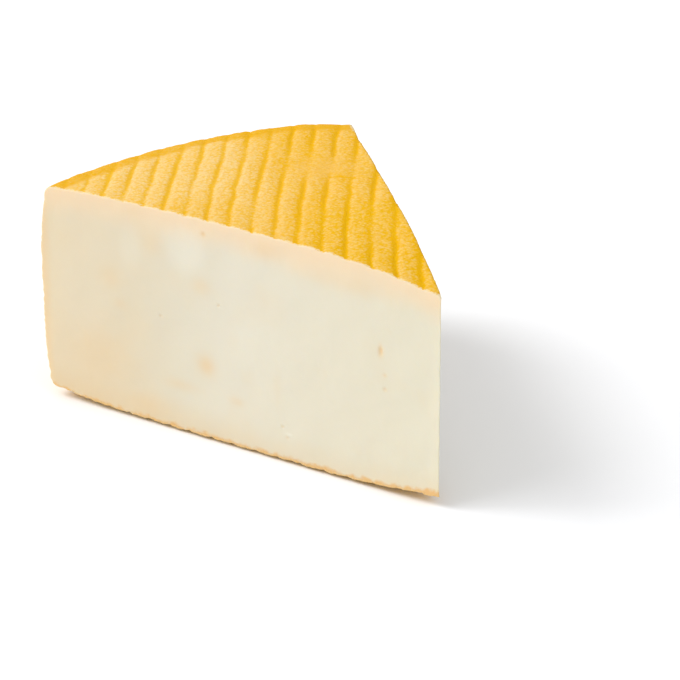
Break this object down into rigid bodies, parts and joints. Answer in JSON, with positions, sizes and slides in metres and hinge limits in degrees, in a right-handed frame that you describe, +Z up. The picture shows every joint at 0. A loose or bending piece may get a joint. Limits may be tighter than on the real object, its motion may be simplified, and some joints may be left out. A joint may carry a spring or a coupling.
{
  "type": "saint-paulin cheese wedge",
  "caption": "Wedge cut from a small round semi-soft cheese, with cream paste, a ribbed yellow-orange rind above and below, and a rounded rim.",
  "frame": {"origin": "middle of the wedge's box, on the plane that it rests on", "axes": "+Z up, +X from the rim towards the wheel's centre along the front cut face, -Y out of the front cut face"},
  "size_m": [0.1, 0.0707, 0.0489],
  "materials": {
    "cheese": "moist semi-soft cheese: cream paste on the cut faces, yellow-orange ribbed rind on the top, rim and underside"
  },
  "bodies": {
    "root": {"cheese_wedge": "cheese"}
  },
  "joints": []
}
